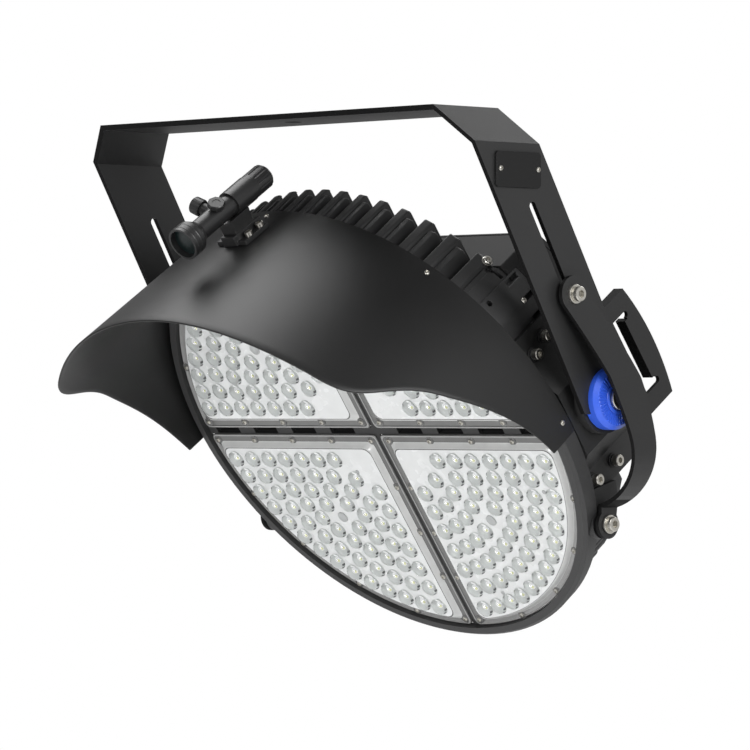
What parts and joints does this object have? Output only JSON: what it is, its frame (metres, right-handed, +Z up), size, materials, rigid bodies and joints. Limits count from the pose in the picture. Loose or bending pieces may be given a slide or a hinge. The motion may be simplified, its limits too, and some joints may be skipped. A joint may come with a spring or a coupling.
{
  "type": "stadium floodlight head in a tilting yoke",
  "caption": "Round LED stadium floodlight with a curved visor and an aiming sight, hung in a raked yoke and held at its tilt by slotted side braces.",
  "frame": {"origin": "middle of the yoke bar's top face, where the mounting bolt passes", "axes": "+Z up out of the bar, +X along the tilt axis to the right as seen from the front, -Y the way the lamp faces"},
  "size_m": [0.692, 0.597, 0.6079],
  "materials": {
    "yoke_paint": "matt powder coat",
    "visor_paint": "fine textured powder coat",
    "white_board": "white solder mask",
    "clear_cover": "clear moulded lens plate",
    "blue_dial": "moulded blue plastic",
    "steel": "plain stainless steel",
    "sight_black": "black anodised",
    "plate_black": "satin black",
    "black_plastic": "moulded black plastic",
    "cast_black": "die cast, powder coated",
    "sheet_black": "powder coated sheet"
  },
  "bodies": {
    "yoke": {"yoke": "yoke_paint", "name_plate": "plate_black", "dial_right": "blue_dial", "dial_left": "blue_dial"},
    "lamp_head": {"rim_ring": "cast_black", "heat_sink": "cast_black", "module_cross": "cast_black", "led_board_1": "white_board", "led_board_2": "white_board", "led_board_3": "white_board", "led_board_4": "white_board", "lens_cover_1": "clear_cover", "lens_cover_2": "clear_cover", "lens_cover_3": "clear_cover", "lens_cover_4": "clear_cover", "visor": "visor_paint", "driver_box": "sheet_black", "box_lid": "sheet_black", "cable_gland": "black_plastic", "rear_handle_right": "sheet_black", "rear_handle_left": "sheet_black", "side_bracket_right": "sheet_black", "side_bracket_left": "sheet_black", "pivot_spacer_right": "black_plastic", "pivot_spacer_left": "black_plastic", "pivot_bolt_right": "steel", "pivot_bolt_left": "steel", "brace_pin_right": "steel", "brace_pin_left": "steel", "sight_foot": "sight_black", "sight_clamp": "sight_black", "sight_tube": "sight_black", "sight_objective": "sight_black", "sight_top_turret": "sight_black", "sight_side_turret": "sight_black", "sight_cap": "sight_black"},
    "right_brace": {"brace_right": "sheet_black", "slot_bolt_right": "steel"},
    "left_brace": {"brace_left": "sheet_black", "slot_bolt_left": "steel"}
  },
  "joints": [
    {"name": "head_tilt", "type": "hinge", "parent": "yoke", "child": "lamp_head", "pos_m": [0, 0.19173, -0.3255], "axis": [1, 0, 0], "range_deg": [-10, 54]},
    {"name": "right_brace_swing", "type": "hinge", "parent": "lamp_head", "child": "right_brace", "pos_m": [0.277, 0.22975, -0.46969], "axis": [1, 0, 0], "range_deg": [-27, 5]},
    {"name": "left_brace_swing", "type": "hinge", "parent": "lamp_head", "child": "left_brace", "pos_m": [-0.277, 0.22975, -0.46969], "axis": [1, 0, 0], "range_deg": [-27, 5]}
  ],
  "couplings": [
    {"joint": "right_brace_swing", "follows": "head_tilt", "ratio": -0.5},
    {"joint": "left_brace_swing", "follows": "head_tilt", "ratio": -0.5}
  ]
}
